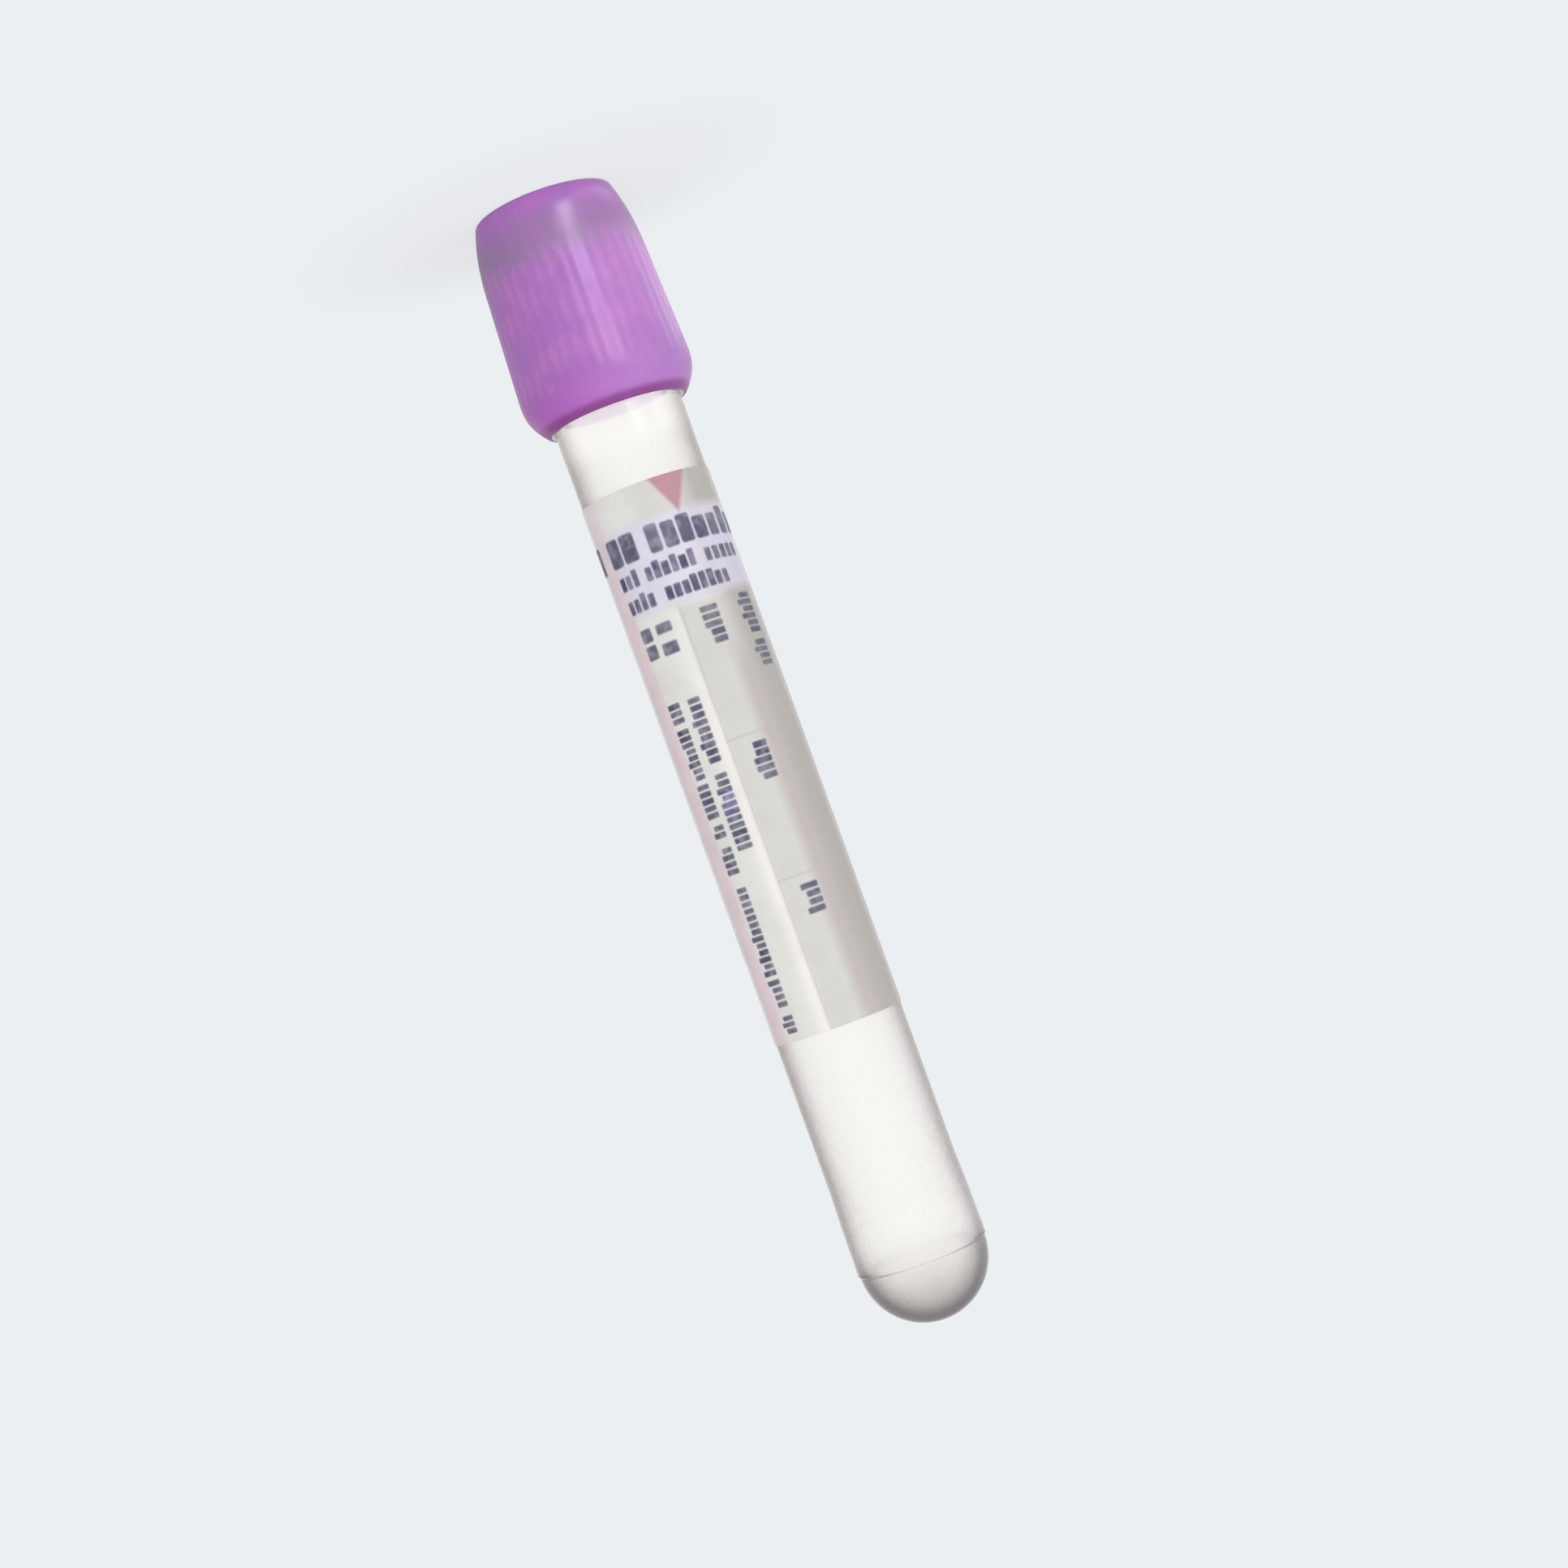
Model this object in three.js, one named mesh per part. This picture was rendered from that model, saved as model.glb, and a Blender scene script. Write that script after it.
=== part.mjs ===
// Evacuated blood collection tube of the 13 x 100 mm size, with its push-on safety closure.
//
// Millimetres, +Z up. The tube stands on its closure: the origin is the centre of the closure's
// flat rim, the tube's mouth faces down into the closure, and its domed end points up.
// Four pieces: the clear tube, the rubber stopper, the fluted plastic shield and the label.

import * as THREE from 'three';

// Tube
const TUBE_LENGTH = 100;
const TUBE_MOUTH_RADIUS = 6.15;
const TUBE_DRAFT = 0.08;
const TUBE_WALL = 1.1;
const TUBE_END_WALL = 1.3;
const MOUTH_ROUND = 0.35;
const PARTING_LINE_ABOVE_DOME = 0.2;
const PARTING_STEP = 0.15;
const PARTING_FLARE = 8;

// Label
const LABEL_LENGTH = 52.5;
const LABEL_FROM_MOUTH = 18.75;
const LABEL_THICKNESS = 0.06;
const LABEL_GLUE = 0.02;
const LABEL_WRAP = THREE.MathUtils.degToRad(320);

// Stopper
const PLUG_DEPTH = 8.5;
const PLUG_CLEARANCE = 0.06;
const PLUG_WALL = 1.6;
const PLUG_TAPER = 0.7;
const PLUG_GROOVES = 2;
const PLUG_GROOVE_DEPTH = 0.25;
const PLUG_GROOVE_WIDTH = 1.1;
const FLANGE_THICKNESS = 2.45;
const FLANGE_OVERHANG = 0.2;
const BOSS_HEIGHT = 1.3;
const BOSS_INSET = 1.45;
const BOSS_GRIP = 0.7;
const NEEDLE_TARGET_RADIUS = 2.6;
const NEEDLE_TARGET_DEPTH = 0.9;
const DIAPHRAGM = 3;
const HOLLOW_DRAFT = 0.27;
const HOLLOW_ROUND = 1;

// Shield
const WELL_DEPTH = 4.6;
const WEB_THICKNESS = 1;
const SKIRT_OVERLAP = 11.3;
const SKIRT_WALL = 1.4;
const SKIRT_DRAFT = 0.046;
const BULGE_FROM_LIP = 3.66;
const LIP_INSET = 1.55;
const LIP_CURVE = 2.3;
const LIP_HEIGHT = 0.5;
const LIP_TAPER = 2.2;
const POCKET_OVERLAP = 0.75;
const POCKET_TAPER = 1.5;
const SHOULDER_HEIGHT = 7.1;
const SHOULDER_INSET = 0.94;
const SHOULDER_CURVE = 2.5;
const RIM_ROUND = 0.3;
const FLUTES = 40;
const FLUTE_DEPTH = 0.15;
const FLUTE_FROM_RIM = 5.3;
const FLUTE_FROM_LIP = 2.6;
const FLUTE_RUN_OUT = 1;

// Clearances
const SEAT_GAP = 0.05;
const CLOSURE_GAP = 0.05;
const POCKET_CLEARANCE = 0.1;
const WELL_CLEARANCE = 0.3;
const SKIRT_CLEARANCE = 0.75;
const LIP_CLEARANCE = 0.25;

// Smoothness
const ARC_STEPS = 4;
const TUBE_SEGMENTS = 64;
const STOPPER_SEGMENTS = 48;
const POINTS_PER_FLUTE = 2;
const LABEL_STEPS = 56;

// Outside radius of the straight wall where it meets the domed end
const tubeEndRadius = TUBE_MOUTH_RADIUS - TUBE_DRAFT;

// Heights above the closure's rim, from the needle well up to the tube's domed end
const bossZ = WELL_DEPTH;
const webZ = bossZ + BOSS_HEIGHT + CLOSURE_GAP;
const flangeZ = webZ + WEB_THICKNESS + CLOSURE_GAP;
const mouthZ = flangeZ + FLANGE_THICKNESS + SEAT_GAP;
const plugEndZ = mouthZ + PLUG_DEPTH;
const lipZ = mouthZ + SKIRT_OVERLAP;
const bulgeZ = lipZ - BULGE_FROM_LIP;
const tubeEndZ = mouthZ + TUBE_LENGTH;
const domeZ = tubeEndZ - tubeEndRadius;
const partingZ = domeZ - PARTING_LINE_ABOVE_DOME;
const labelZ = mouthZ + LABEL_FROM_MOUTH;

// Radii that seat on the tube's mouth
const flangeRadius = TUBE_MOUTH_RADIUS + FLANGE_OVERHANG;
const bossRadius = flangeRadius - BOSS_INSET;
const neckRadius = bossRadius - BOSS_GRIP;
const pocketRadius = flangeRadius + POCKET_CLEARANCE;
const skirtRadius = TUBE_MOUTH_RADIUS + SKIRT_CLEARANCE;
const lipRadius = TUBE_MOUTH_RADIUS + LIP_CLEARANCE;
const wellRadius = bossRadius + WELL_CLEARANCE;
const bulgeRadius = skirtRadius + SKIRT_WALL;

// Outside radius of the tube's moulded wall, which narrows evenly from the mouth to the dome.
function tubeRadius(z) {
  const along = (z - mouthZ) / (domeZ - mouthZ);
  return THREE.MathUtils.lerp(TUBE_MOUTH_RADIUS, tubeEndRadius, along);
}

// Outside radius of the shield: a slightly drafted barrel that draws in smoothly
// over its shoulder, towards the rim, and under its bulge, towards the lip.
function shieldRadius(z) {
  const draft = SKIRT_DRAFT * Math.max(0, bulgeZ - z);
  const shoulder = Math.max(0, 1 - z / SHOULDER_HEIGHT);
  const lip = Math.max(0, (z - bulgeZ) / BULGE_FROM_LIP);
  return bulgeRadius - draft - SHOULDER_INSET * shoulder ** SHOULDER_CURVE - LIP_INSET * lip ** LIP_CURVE;
}

// Turns a closed outline of radius and height into a solid of revolution about +Z.
function turned(points, segments) {
  const geometry = new THREE.LatheGeometry(points, segments);
  geometry.rotateX(Math.PI / 2);
  return geometry;
}

// One moulding with a domed end: down the bore, round the mouth, up the outside. The outside
// swells a little towards the parting line and steps in where the domed mould half begins.
function tubeGeometry() {
  const boreEndRadius = tubeEndRadius - TUBE_WALL;
  const boreMouthRadius = TUBE_MOUTH_RADIUS - TUBE_WALL;
  const boreDomeZ = tubeEndZ - TUBE_END_WALL - boreEndRadius;
  const outline = new THREE.Path();
  outline.absarc(0, boreDomeZ, boreEndRadius, Math.PI / 2, 0, true);
  outline.lineTo(boreMouthRadius, mouthZ + MOUTH_ROUND);
  outline.quadraticCurveTo(boreMouthRadius, mouthZ, boreMouthRadius + MOUTH_ROUND, mouthZ);
  outline.lineTo(TUBE_MOUTH_RADIUS - MOUTH_ROUND, mouthZ);
  outline.quadraticCurveTo(TUBE_MOUTH_RADIUS, mouthZ, TUBE_MOUTH_RADIUS, mouthZ + MOUTH_ROUND);
  const flareZ = partingZ - PARTING_FLARE;
  const partingRadius = tubeRadius(partingZ) + PARTING_STEP;
  outline.lineTo(tubeRadius(flareZ), flareZ);
  outline.quadraticCurveTo(partingRadius, (flareZ + partingZ) / 2, partingRadius, partingZ);
  outline.lineTo(tubeEndRadius, partingZ + PARTING_STEP);
  outline.absarc(0, domeZ, tubeEndRadius, 0, Math.PI / 2, false);
  const points = outline.getPoints(ARC_STEPS);
  points[0].x = 0;
  points[points.length - 1].x = 0;
  return turned(points, TUBE_SEGMENTS);
}

// A rubber boss that buttons through the shield's web, a flange that seals the tube's mouth,
// and a hollow plug with sealing bands. The needle passes through the diaphragm between.
function stopperGeometry() {
  const plugRadius = tubeRadius(plugEndZ) - TUBE_WALL - PLUG_CLEARANCE;
  const hollowRadius = plugRadius - PLUG_WALL;
  const hollowZ = bossZ + NEEDLE_TARGET_DEPTH + DIAPHRAGM;
  const targetZ = bossZ + NEEDLE_TARGET_DEPTH;
  const outline = new THREE.Path();
  outline.moveTo(0, targetZ);
  outline.quadraticCurveTo(NEEDLE_TARGET_RADIUS, targetZ, NEEDLE_TARGET_RADIUS, bossZ);
  outline.lineTo(bossRadius - RIM_ROUND, bossZ);
  outline.lineTo(bossRadius, bossZ + RIM_ROUND);
  outline.lineTo(bossRadius, bossZ + BOSS_HEIGHT);
  outline.lineTo(neckRadius, bossZ + BOSS_HEIGHT);
  outline.lineTo(neckRadius, flangeZ);
  outline.lineTo(flangeRadius, flangeZ);
  outline.lineTo(flangeRadius, flangeZ + FLANGE_THICKNESS);
  outline.lineTo(plugRadius, flangeZ + FLANGE_THICKNESS);
  const groovePitch = (PLUG_DEPTH - PLUG_TAPER) / (PLUG_GROOVES + 1);
  for (let groove = 1; groove <= PLUG_GROOVES; groove += 1) {
    const grooveZ = mouthZ + groovePitch * groove;
    outline.lineTo(plugRadius, grooveZ - PLUG_GROOVE_WIDTH / 2);
    outline.lineTo(plugRadius - PLUG_GROOVE_DEPTH, grooveZ);
    outline.lineTo(plugRadius, grooveZ + PLUG_GROOVE_WIDTH / 2);
  }
  outline.lineTo(plugRadius, plugEndZ - PLUG_TAPER);
  outline.lineTo(plugRadius - PLUG_TAPER, plugEndZ);
  outline.lineTo(hollowRadius, plugEndZ);
  outline.lineTo(hollowRadius - HOLLOW_DRAFT, hollowZ + HOLLOW_ROUND);
  outline.quadraticCurveTo(hollowRadius - HOLLOW_DRAFT, hollowZ, 0, hollowZ);
  return turned(outline.getPoints(ARC_STEPS), STOPPER_SEGMENTS);
}

// Heights of the rings that shape the shield's outside, between its rim and its lip.
function shieldRings() {
  const flutesStart = FLUTE_FROM_RIM;
  const flutesEnd = lipZ - FLUTE_FROM_LIP;
  const barrel = [flutesStart, flutesStart + FLUTE_RUN_OUT, (flutesStart + flutesEnd) / 2];
  barrel.push(flutesEnd - FLUTE_RUN_OUT, flutesEnd);
  const shoulder = [];
  const lip = [];
  for (let step = 1; step < ARC_STEPS; step += 1) {
    shoulder.push(THREE.MathUtils.lerp(RIM_ROUND, flutesStart, step / ARC_STEPS));
    lip.push(THREE.MathUtils.lerp(flutesEnd, lipZ, step / ARC_STEPS));
  }
  return [...shoulder, ...barrel, ...lip];
}

// How far the shield's skin is pulled in at one angle and height: full depth in the middle
// of each flute, running out to nothing at both ends of the fluted band.
function flutePull(angle, z) {
  const fromRim = (z - FLUTE_FROM_RIM) / FLUTE_RUN_OUT;
  const fromLip = (lipZ - FLUTE_FROM_LIP - z) / FLUTE_RUN_OUT;
  const strength = THREE.MathUtils.clamp(Math.min(fromRim, fromLip), 0, 1);
  return FLUTE_DEPTH * strength * (0.5 - 0.5 * Math.cos(FLUTES * angle));
}

// The plastic shield: an open needle well, a web that holds the stopper, and a fluted skirt
// that hides the tube's mouth and draws in to a lip around the tube.
function shieldGeometry() {
  const points = [];
  const ring = (radius, z) => points.push(new THREE.Vector2(radius, z));
  ring(wellRadius + RIM_ROUND, 0);
  ring(shieldRadius(0) - RIM_ROUND, 0);
  ring(shieldRadius(RIM_ROUND), RIM_ROUND);
  for (const z of shieldRings()) {
    ring(shieldRadius(z), z);
  }
  ring(shieldRadius(lipZ), lipZ);
  const outsideRings = points.length;
  ring(lipRadius, lipZ);
  ring(lipRadius, lipZ - LIP_HEIGHT);
  ring(skirtRadius, lipZ - LIP_TAPER);
  ring(skirtRadius, mouthZ + POCKET_TAPER);
  ring(pocketRadius, mouthZ + POCKET_OVERLAP);
  ring(pocketRadius, webZ + WEB_THICKNESS);
  ring(neckRadius + CLOSURE_GAP, webZ + WEB_THICKNESS);
  ring(neckRadius + CLOSURE_GAP, webZ);
  ring(wellRadius, webZ);
  ring(wellRadius, RIM_ROUND);
  points.push(points[0].clone());
  const geometry = turned(points, FLUTES * POINTS_PER_FLUTE);
  const position = geometry.attributes.position;
  for (let i = 0; i < position.count; i += 1) {
    const isOutside = i % points.length < outsideRings;
    if (isOutside) {
      const x = position.getX(i);
      const y = position.getY(i);
      const scale = 1 - flutePull(Math.atan2(x, -y), position.getZ(i)) / Math.hypot(x, y);
      position.setXY(i, x * scale, y * scale);
    }
  }
  return geometry;
}

// Thin film wrapped round the tube, open in a viewing strip at the back (+Y).
function labelGeometry() {
  const innerRadius = tubeRadius(labelZ) + LABEL_GLUE;
  const outerRadius = innerRadius + LABEL_THICKNESS;
  const gap = 2 * Math.PI - LABEL_WRAP;
  const from = (Math.PI + gap) / 2;
  const to = from + LABEL_WRAP;
  const section = new THREE.Shape();
  section.absarc(0, 0, outerRadius, from, to, false);
  section.absarc(0, 0, innerRadius, to, from, true);
  const options = { depth: LABEL_LENGTH, bevelEnabled: false, curveSegments: LABEL_STEPS };
  const geometry = new THREE.ExtrudeGeometry(section, options);
  geometry.translate(0, 0, labelZ);
  const position = geometry.attributes.position;
  for (let i = 0; i < position.count; i += 1) {
    const scale = tubeRadius(position.getZ(i)) / tubeRadius(labelZ);
    position.setXY(i, position.getX(i) * scale, position.getY(i) * scale);
  }
  return geometry;
}

function piece(name, geometry, material) {
  const mesh = new THREE.Mesh(geometry, new THREE.MeshStandardMaterial(material));
  mesh.name = name;
  return mesh;
}

const clearPlastic = { color: 0xf4f3ef, roughness: 0.06, metalness: 0, transparent: true, opacity: 0.35 };
const rubber = { color: 0x8c7a98, roughness: 0.75, metalness: 0 };
const lavenderPlastic = { color: 0xb06cc2, roughness: 0.38, metalness: 0 };
const film = { color: 0xdbdbd6, roughness: 0.45, metalness: 0, transparent: true, opacity: 0.85 };

const closure = new THREE.Group();
closure.add(piece('stopper', stopperGeometry(), rubber));
closure.add(piece('shield', shieldGeometry(), lavenderPlastic));

const labelledTube = new THREE.Group();
labelledTube.add(piece('tube', tubeGeometry(), clearPlastic));
labelledTube.add(piece('label', labelGeometry(), film));

const bloodTube = new THREE.Group();
bloodTube.add(closure, labelledTube);

export default bloodTube;
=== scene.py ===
"""Evacuated blood collection tube of the 13 x 100 mm size, with a fluted lavender closure.

It is laid out as an add-on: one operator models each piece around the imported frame, and one
sets the stage. The tube stands on its closure's rim, with its domed end up, in metres.
"""

import math

import bmesh
import bpy
from bpy.props import FloatProperty, FloatVectorProperty, IntProperty, PointerProperty
from mathutils import Euler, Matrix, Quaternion, Vector


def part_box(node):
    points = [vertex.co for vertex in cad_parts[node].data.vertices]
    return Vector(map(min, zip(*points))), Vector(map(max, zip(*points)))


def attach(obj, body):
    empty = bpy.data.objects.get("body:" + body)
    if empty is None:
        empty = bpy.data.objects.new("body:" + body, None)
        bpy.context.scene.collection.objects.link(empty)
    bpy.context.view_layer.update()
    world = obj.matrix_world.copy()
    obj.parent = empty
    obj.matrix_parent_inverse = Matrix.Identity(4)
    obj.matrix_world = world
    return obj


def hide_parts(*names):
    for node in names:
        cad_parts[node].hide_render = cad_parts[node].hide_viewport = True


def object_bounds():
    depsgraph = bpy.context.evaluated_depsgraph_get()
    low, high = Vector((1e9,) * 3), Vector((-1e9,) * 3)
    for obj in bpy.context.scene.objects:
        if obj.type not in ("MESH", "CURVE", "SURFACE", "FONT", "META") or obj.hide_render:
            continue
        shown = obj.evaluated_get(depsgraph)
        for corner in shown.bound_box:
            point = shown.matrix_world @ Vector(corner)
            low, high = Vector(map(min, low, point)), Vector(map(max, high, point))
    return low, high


bl_info = {
    "name": "Blood Collection Tube",
    "version": (1, 0, 0),
    "blender": (4, 5, 0),
    "location": "View3D > Sidebar > Collection Tube",
    "description": "Models a labelled collection tube with its push-on safety closure",
    "category": "Add Mesh",
}

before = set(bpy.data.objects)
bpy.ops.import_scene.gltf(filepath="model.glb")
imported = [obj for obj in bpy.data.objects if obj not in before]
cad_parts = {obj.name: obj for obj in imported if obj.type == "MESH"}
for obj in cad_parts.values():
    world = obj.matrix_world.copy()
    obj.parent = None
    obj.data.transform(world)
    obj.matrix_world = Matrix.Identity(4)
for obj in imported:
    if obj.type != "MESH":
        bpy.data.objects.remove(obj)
CAD_LOW, CAD_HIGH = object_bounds()

MM = 0.001

# How far the model stays within the frame's box, in millimetres
BOX_MARGIN = 0.0001

# Gap between shield and stopper, in millimetres
FIT = 0.05

# Heights above the closure's rim, in millimetres, from the frame
BOSS_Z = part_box("stopper")[0].z / MM
PLUG_END_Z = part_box("stopper")[1].z / MM
LIP_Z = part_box("shield")[1].z / MM
MOUTH_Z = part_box("tube")[0].z / MM
TUBE_END_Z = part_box("tube")[1].z / MM - 2 * BOX_MARGIN
LABEL_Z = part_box("label")[0].z / MM
LABEL_END_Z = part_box("label")[1].z / MM
WEB_Z = BOSS_Z + 1.35
WEB_TOP_Z = WEB_Z + 1
FLANGE_Z = WEB_TOP_Z + FIT
FLANGE_TOP_Z = FLANGE_Z + 2.45

# Tube, in millimetres and degrees
MOUTH_RADIUS = 6.15
END_RADIUS = 6.07
TUBE_WALL = 1.1
END_WALL = 1.3
MOUTH_ROUND = 0.35
PARTING_STEP = 0.15
PARTING_ROUND = 0.06
PARTING_FLARE = 8
DOME_Z = TUBE_END_Z - END_RADIUS
PARTING_Z = DOME_Z - 0.2
TUBE_DRAFT = (MOUTH_RADIUS - END_RADIUS) / (DOME_Z - MOUTH_Z)
LAST_RING_ANGLE = 88
POLE_RISE = 1 - math.sin(math.radians(LAST_RING_ANGLE))
BORE_DOME_ROWS = 28
DOME_ROWS = 36
FLARE_ROWS = 12

# Radii within the tube's wall between which its outside gives way to its bore
WALL_MIDDLE = (5.65, 5.55)

# Shield, in millimetres
BULGE_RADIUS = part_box("shield")[1].x / MM - BOX_MARGIN
BULGE_Z = LIP_Z - 3.66
SHIELD_DRAFT = 0.046
SHOULDER_HEIGHT = 7.1
SHOULDER_INSET = 0.94
SHOULDER_CURVE = 2.5
LIP_INSET = 1.55
LIP_CURVE = 2.3
RIM_ROUND = 0.3
LIP_ROUND = 0.11
WEB_ROUND = 0.12
WELL_RADIUS = 5.2
SOCKET_RADIUS = 6.45
SOCKET_END_Z = MOUTH_Z + 0.75
SKIRT_RADIUS = 6.9
SKIRT_Z = MOUTH_Z + 1.5
SKIRT_END_Z = LIP_Z - 2.2
LIP_RADIUS = 6.4
LIP_LAND_Z = LIP_Z - 0.5
FLUTES_FROM_Z = 5.3
FLUTES_TO_Z = LIP_Z - 2.6
FLUTE_RUN_OUT = 1
COLUMNS_PER_FLUTE = 8
SHOULDER_ROWS = 10
RUN_OUT_ROWS = 4
FLUTE_ROWS = 8
LIP_ROWS = 9

# Where the shield's painted shade, painted light and painted glow lie, in millimetres
SHOULDER_SHADE_Z = (2.4, 6.2)
SHOULDER_SHADE_FADE = 2.4
SHOULDER_SHADE_X = (-7, -2)
LOW_SHADE_Z = (15.5, 18.5)
LOW_SHADE_X = (6, -6)
LIP_GLOW_X = (6.3, 5.1)

# Stopper, in millimetres
BOSS_RADIUS = 4.9
BOSS_HEIGHT = 1.3
BOSS_ROUND = 0.28
NECK_RADIUS = 4.2
FLANGE_RADIUS = 6.35
TARGET_RADIUS = 2.6
TARGET_DEPTH = 0.9
TARGET_ROUND = 0.12
PLUG_FIT = 0.06
PLUG_TAPER = 0.7
HOLLOW_INSET = 0.27
HOLLOW_CURVE = 1
EDGE_ROUND = 0.14
LAST_RING_RADIUS = 0.25
CURVE_ROWS = 8

# Label, in millimetres and degrees
LABEL_GLUE = 0.02
LABEL_GAP = 40
LABEL_COLUMNS = 360
LABEL_ROWS = 12

# Print, painted shade and painted highlights, in millimetres round the label from its middle, or
# down from its top
FIELDS_FROM = (11.4, 12.3)
FIELDS_EDGE = (-0.95, -0.6)
SIDE_SHADE = ((3.0, 5.0), (11.0, 9.0))
HEADER_EDGE = (-3, 0)
LIT_SIDE = (-2.5, -5.5)
LIT_EDGES = ((-7.7, -8.5), (7.3, 8.3))
HEADER = (3.4, 11.6)
PINK_STRIPE = (-7.8, -5.5)
HIGHLIGHT_STRIP = (-1.7, -0.72)
FIELD_LINE = (-0.78, -0.5)
FIELD_MARGIN = (2.6, 4.2)
RULES = ((24.75, 25.0), (38.25, 38.5))
RULE_SPAN = (-0.8, 3.4)
MARK_MIDDLE = 2.37
MARK_HALF_WIDTH = 1.85
MARK_HEIGHT = 3.65
VIOLET_WORD = ((-3.33, -1.7), (28.95, 31.15))

# Lines round the label and down it: span across, ends of the words, and pitch and first number
# of the blocks
LINES_ROUND = (
    ((3.87, 6.6), ((-11.9, -7.6), (-6.06, -2.4), (-1.5, 12.4)), 1.62, 3),
    ((7.13, 8.82), ((-5.8, -3.3), (-2.65, 2.4), (3.25, 7.8)), 0.84, 11),
    ((9.42, 11.1), ((-5.8, -2.4), (-1.4, 5.2)), 0.82, 23),
)
SMALL_PRINT = (
    (19.85, 21.9),
    (22.35, 27.35),
    (27.65, 31.05),
    (31.6, 32.95),
    (33.75, 36.45),
    (37.65, 46.25),
    (46.5, 49.25),
    (49.95, 51.75),
)
LINES_DOWN = (
    ((0.98, 2.74), ((12.5, 16.25), (25.65, 29.35), (39.2, 42.2)), 0.74, 35),
    ((4.98, 7.14), ((12.2, 16.2), (16.8, 19.4)), 0.72, 47),
    ((-3.33, -1.7), ((19.95, 26.35), (27.25, 34.65)), 0.7, 59),
    ((-5.47, -3.87), SMALL_PRINT, 0.66, 73),
)

# Wide blocks: middle and half width round the label, and both ends down it
WIDE_BLOCKS = (
    (-4.8, 0.72, 12.6, 13.95),
    (-4.8, 0.72, 14.2, 15.6),
    (-2.7, 0.85, 12.66, 13.66),
    (-2.7, 0.85, 14.5, 15.7),
)

TUBE_SEGMENTS = 160
STOPPER_SEGMENTS = 96

# How far apart two places may be and still be one, and how far a vertex may be from its ring
SAME_PLACE = 1e-6
SAME_RING = SAME_PLACE * 5

# Stage, in metres
FLOOR_SIZE = 20
LAMP_SIZE = (1.1, 0.8)
CARD_HEIGHT = 0.0005
CAMERA_PLACE = (-0.00282, -0.256, 0.06673)

# How far to the left or up the surroundings start to darken, and are darkest
LEFTWARDS = (0.2, 0.9)
UPWARDS = (0.15, 0.75)

# Share of the left side's shade that matt surfaces get
MATT_SHADE = 0.45

BLACK = (0, 0, 0)


# ---------------------------------------------------------------- outlines


def tube_radius(z):
    """Outside radius of the moulded tube, which narrows evenly from mouth to dome."""
    return MOUTH_RADIUS - TUBE_DRAFT * (z - MOUTH_Z)


def shield_radius(z):
    """Outside radius of the shield, drawn in over its shoulder and under its bulge."""
    draft = SHIELD_DRAFT * max(0, BULGE_Z - z)
    shoulder = max(0, 1 - z / SHOULDER_HEIGHT)
    lip = max(0, (z - BULGE_Z) / (LIP_Z - BULGE_Z))
    drawn_in = SHOULDER_INSET * shoulder**SHOULDER_CURVE + LIP_INSET * lip**LIP_CURVE
    return BULGE_RADIUS - draft - drawn_in


def arc(radius, centre_z, start, end, steps):
    """Points of a dome's quarter circle about the axis, from one angle to another."""
    angles = [math.radians(start + (end - start) * i / steps) for i in range(steps + 1)]
    return [(radius * math.cos(a), centre_z + radius * math.sin(a)) for a in angles]


def curve(start, middle, end, steps):
    """Points of a quadratic curve after its start."""
    points = []
    for i in range(1, steps + 1):
        t = i / steps
        weights = ((1 - t) ** 2, 2 * t * (1 - t), t * t)
        points.append(
            tuple(sum(w * p[k] for w, p in zip(weights, (start, middle, end))) for k in (0, 1))
        )
    return points


def spread(start, end, steps):
    """Evenly spaced heights after the start, up to the end."""
    return [start + (end - start) * i / steps for i in range(1, steps + 1)]


# ---------------------------------------------------------------- modelling by hand


def start_ring(name, segments, radius, z):
    """Adds a ring primitive, with its place in its mesh, and opens it in edit mode."""
    bpy.ops.object.select_all(action="DESELECT")
    bpy.ops.mesh.primitive_circle_add(
        vertices=segments, radius=radius * MM, location=(0, 0, z * MM)
    )
    piece = bpy.context.object
    piece.name = piece.data.name = name
    bpy.ops.object.transform_apply(location=True)
    bpy.ops.object.mode_set(mode="EDIT")
    bpy.ops.mesh.select_mode(type="EDGE")
    bpy.ops.mesh.select_all(action="SELECT")
    return piece


def pull_rings(outline):
    """Extrudes the selected ring, at the outline's first point, through all the others."""
    for (radius, z), (next_radius, next_z) in zip(outline, outline[1:]):
        bpy.ops.mesh.extrude_region_move(
            TRANSFORM_OT_translate={"value": (0, 0, (next_z - z) * MM)}
        )
        scale = next_radius / radius
        bpy.ops.transform.resize(
            value=(scale, scale, 1), center_override=(0, 0, next_z * MM)
        )


def close_pole(rise):
    """Draws the selected ring together to one point on the axis."""
    bpy.ops.mesh.extrude_region_move(TRANSFORM_OT_translate={"value": (0, 0, rise * MM)})
    bpy.ops.mesh.merge(type="CENTER")


def select_edges(piece, chosen):
    """Selects the edges of the open mesh for which chosen(edge) holds."""
    bpy.ops.mesh.select_all(action="DESELECT")
    mesh = bmesh.from_edit_mesh(piece.data)
    for edge in mesh.edges:
        if chosen(edge):
            edge.select_set(True)
    mesh.select_flush_mode()
    bmesh.update_edit_mesh(piece.data)


def is_ring_at(edge, corners):
    """Whether an edge runs round the axis through one of the outline's corners."""
    first, second = [(math.hypot(v.co.x, v.co.y), v.co.z) for v in edge.verts]
    if math.dist(first, second) > SAME_PLACE:
        return False
    return any(math.dist(first, (r * MM, z * MM)) < SAME_RING for r, z in corners)


def round_rings(piece, corners, width, segments=3):
    """Bevels the sharp rings that run through these corners of the outline."""
    select_edges(piece, lambda edge: is_ring_at(edge, corners))
    bpy.ops.mesh.bevel(offset=width * MM, segments=segments, affect="EDGES")


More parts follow.
